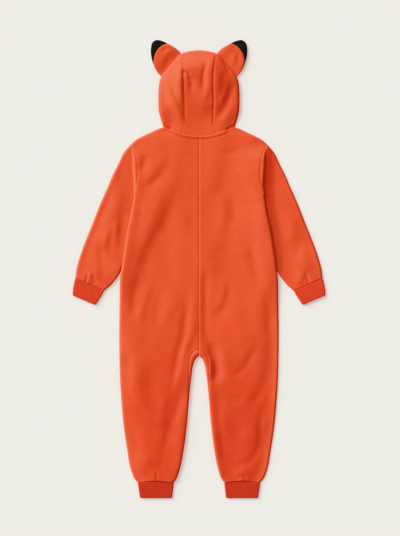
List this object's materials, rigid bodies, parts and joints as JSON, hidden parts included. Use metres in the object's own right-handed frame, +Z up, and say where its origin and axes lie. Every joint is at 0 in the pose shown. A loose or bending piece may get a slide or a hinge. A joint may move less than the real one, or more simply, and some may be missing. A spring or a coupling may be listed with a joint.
{
  "type": "child's hooded onesie, laid flat",
  "caption": "Child's fleece hooded onesie with animal ears, laid flat with its back up, rib cuffs and a front zip.",
  "frame": {"origin": "middle of the garment's bounding box, at the level of the surface it lies on", "axes": "+Z up from the surface, +Y towards the hood and ears, +X towards the wearer's right sleeve"},
  "size_m": [0.6572, 1.1891, 0.0176],
  "materials": {
    "fleece": "orange fleece with a short nap",
    "rib": "rib knit, darker orange-red",
    "dark_fleece": "black fleece",
    "zip_tape": "woven tape with a coil chain",
    "zip_metal": "satin"
  },
  "bodies": {
    "garment": {"back_left": "fleece", "back_right": "fleece", "front_left": "fleece", "front_right": "fleece", "sleeve_left": "fleece", "sleeve_right": "fleece", "wrist_cuff_left": "rib", "wrist_cuff_right": "rib", "ankle_cuff_left": "rib", "ankle_cuff_right": "rib", "hood_left": "fleece", "hood_right": "fleece", "hood_centre": "fleece", "ear_left": "fleece", "ear_right": "fleece", "ear_tip_left": "dark_fleece", "ear_tip_right": "dark_fleece", "zip": "zip_tape", "zip_slider": "zip_metal"},
    "pull": {"zip_pull": "zip_metal"}
  },
  "joints": [
    {"name": "pull_hinge", "type": "hinge", "parent": "garment", "child": "pull", "pos_m": [0, 0.297, 0.00125], "axis": [1, 0, 0], "range_deg": [0, 170]}
  ]
}
